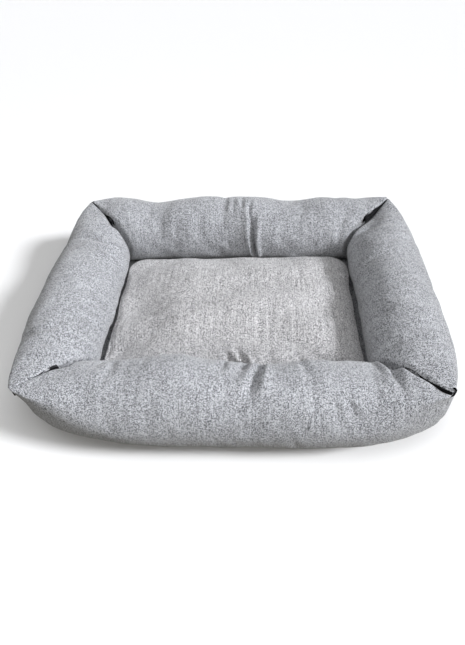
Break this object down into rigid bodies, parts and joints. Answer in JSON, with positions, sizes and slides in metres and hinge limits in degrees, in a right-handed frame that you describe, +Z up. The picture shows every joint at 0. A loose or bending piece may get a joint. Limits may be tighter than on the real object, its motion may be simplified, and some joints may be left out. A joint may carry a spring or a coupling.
{
  "type": "pet bed",
  "caption": "Rectangular pet bed of stuffed bolsters that meet in mitred corners with pointed ears, round a loose cushion; corner press studs undo so each side rolls out flat.",
  "frame": {"origin": "on the floor under the middle of the bed", "axes": "+Z up; +X to the right along the long sides; the front is at -Y"},
  "size_m": [0.86, 0.69, 0.1525],
  "materials": {
    "bolster_cloth": "coarse melange weave, light grey",
    "cushion_cloth": "coarse melange weave, light warm grey",
    "under_cloth": "dark non-slip cloth",
    "filling": "polyester fibre and wadding",
    "webbing": "black woven tape",
    "press_stud": "black moulded",
    "zip_metal": "dark lacquered"
  },
  "bodies": {
    "base": {"base_underside": "under_cloth", "base_wadding": "filling", "base_lining": "bolster_cloth"},
    "front_bolster": {"front_bolster_cover": "bolster_cloth", "front_bolster_filling": "filling", "front_left_socket_tab": "webbing", "front_left_socket": "press_stud", "front_right_socket_tab": "webbing", "front_right_socket": "press_stud"},
    "back_bolster": {"back_bolster_cover": "bolster_cloth", "back_bolster_filling": "filling", "back_left_socket_tab": "webbing", "back_left_socket": "press_stud", "back_right_socket_tab": "webbing", "back_right_socket": "press_stud"},
    "left_bolster": {"left_bolster_cover": "bolster_cloth", "left_bolster_filling": "filling", "front_left_stud_tab": "webbing", "front_left_stud": "press_stud", "back_left_stud_tab": "webbing", "back_left_stud": "press_stud"},
    "right_bolster": {"right_bolster_cover": "bolster_cloth", "right_bolster_filling": "filling", "front_right_stud_tab": "webbing", "front_right_stud": "press_stud", "back_right_stud_tab": "webbing", "back_right_stud": "press_stud"},
    "cushion": {"cushion_cover": "cushion_cloth", "cushion_filling": "filling", "cushion_zip_upper_tape": "webbing", "cushion_zip_lower_tape": "webbing"},
    "zip_slider": {"cushion_zip_slider": "zip_metal"},
    "zip_pull": {"cushion_zip_pull": "zip_metal"}
  },
  "joints": [
    {"name": "front_bolster_roll_out", "type": "hinge", "parent": "base", "child": "front_bolster", "pos_m": [0, -0.327, 0.0185], "axis": [1, 0, 0], "range_deg": [0, 90]},
    {"name": "back_bolster_roll_out", "type": "hinge", "parent": "base", "child": "back_bolster", "pos_m": [0, 0.327, 0.0185], "axis": [-1, 0, 0], "range_deg": [0, 90]},
    {"name": "left_bolster_roll_out", "type": "hinge", "parent": "base", "child": "left_bolster", "pos_m": [-0.412, 0, 0.0185], "axis": [0, -1, 0], "range_deg": [0, 90]},
    {"name": "right_bolster_roll_out", "type": "hinge", "parent": "base", "child": "right_bolster", "pos_m": [0.412, 0, 0.0185], "axis": [0, 1, 0], "range_deg": [0, 90]},
    {"name": "cushion_lift", "type": "slide", "parent": "base", "child": "cushion", "axis": [0, 0, 1], "range_m": [0, 0.2]},
    {"name": "zip_slider_run", "type": "slide", "parent": "cushion", "child": "zip_slider", "axis": [-1, 0, 0], "range_m": [0, 0.29]},
    {"name": "zip_pull_swing", "type": "hinge", "parent": "zip_slider", "child": "zip_pull", "pos_m": [0.15, 0.16868, 0.01962], "axis": [0, -0.7071, -0.7071], "range_deg": [-75, 75]}
  ]
}
